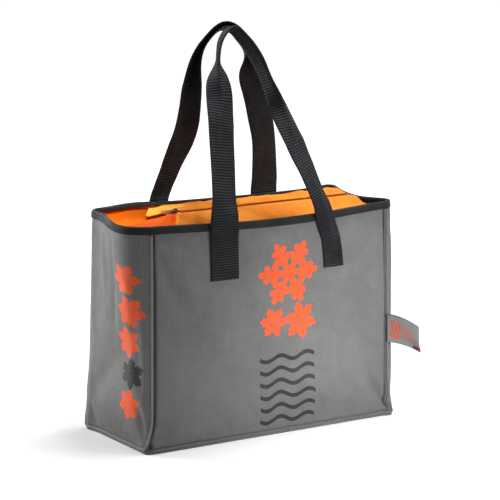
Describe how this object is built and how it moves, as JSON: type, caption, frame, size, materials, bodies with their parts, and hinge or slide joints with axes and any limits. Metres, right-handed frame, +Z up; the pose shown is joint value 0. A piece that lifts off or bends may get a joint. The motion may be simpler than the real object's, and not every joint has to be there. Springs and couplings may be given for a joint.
{
  "type": "cooler bag",
  "caption": "Soft insulated tote with printed outer panels, foam and lining, a bound rim, a zipped closure across the mouth, webbing handles and a side tape loop.",
  "frame": {"origin": "middle of the base's underside, on the surface the bag stands on", "axes": "+Z up to the handles, -Y out of the front panel, +X along the front panel to its right"},
  "size_m": [0.4134, 0.1896, 0.5277],
  "materials": {
    "outer": "laminated woven fabric with fine ribs and a printed design",
    "foam": "closed-cell foam",
    "lining": "smooth coated cloth",
    "board": "flat stiff sheet",
    "binding": "woven tape",
    "webbing": "ribbed webbing",
    "tape": "woven zip tape",
    "zip": "moulded teeth",
    "metal": "dull pale metal",
    "label": "woven tape"
  },
  "bodies": {
    "bag": {"front_panel": "outer", "right_gusset": "outer", "back_panel": "outer", "left_gusset": "outer", "base_panel": "outer", "base_board": "board", "base_foam": "foam", "base_lining": "lining", "front_foam": "foam", "front_lining": "lining", "right_foam": "foam", "right_lining": "lining", "back_foam": "foam", "back_lining": "lining", "left_foam": "foam", "left_lining": "lining", "rim_binding": "binding", "closure_front_border": "lining", "zip_tape_front_left": "tape", "zip_teeth_front_left": "zip", "zip_tape_front_right": "tape", "zip_teeth_front_right": "zip", "zip_top_stop_front": "metal", "closure_back_border": "lining", "zip_tape_back_left": "tape", "zip_teeth_back_left": "zip", "zip_tape_back_right": "tape", "zip_teeth_back_right": "zip", "zip_top_stop_back": "metal", "zip_bottom_stop": "metal", "front_handle_left_end": "webbing", "front_handle_right_end": "webbing", "back_handle_left_end": "webbing", "back_handle_right_end": "webbing", "side_tape_loop": "label"},
    "front_handle": {"front_handle_loop": "webbing"},
    "back_handle": {"back_handle_loop": "webbing"},
    "front_flap": {"closure_front_flap": "lining", "zip_tape_front_middle": "tape", "zip_teeth_front_middle": "zip"},
    "back_flap": {"closure_back_flap": "lining", "zip_tape_back_middle": "tape", "zip_teeth_back_middle": "zip"},
    "slider": {"zip_slider_top": "metal", "zip_slider_bottom": "metal"},
    "puller": {"zip_puller": "metal"}
  },
  "joints": [
    {"name": "front_handle_hinge", "type": "hinge", "parent": "bag", "child": "front_handle", "pos_m": [0, -0.08055, 0.25515], "axis": [1, 0, 0], "range_deg": [0, 150]},
    {"name": "back_handle_hinge", "type": "hinge", "parent": "bag", "child": "back_handle", "pos_m": [0, 0.072, 0.25515], "axis": [-0.9986, 0.0532, 0], "range_deg": [0, 150]},
    {"name": "front_flap_hinge", "type": "hinge", "parent": "bag", "child": "front_flap", "pos_m": [0, -0.046, 0.2816], "axis": [1, 0, 0], "range_deg": [0, 60]},
    {"name": "back_flap_hinge", "type": "hinge", "parent": "bag", "child": "back_flap", "pos_m": [0, 0.046, 0.2816], "axis": [-1, 0, 0], "range_deg": [0, 60]},
    {"name": "slider_run", "type": "slide", "parent": "bag", "child": "slider", "axis": [1, 0, 0], "range_m": [0, 0.258]},
    {"name": "puller_hinge", "type": "hinge", "parent": "slider", "child": "puller", "pos_m": [-0.104, 0, 0.2932], "axis": [0, 1, 0], "range_deg": [0, 165]}
  ]
}
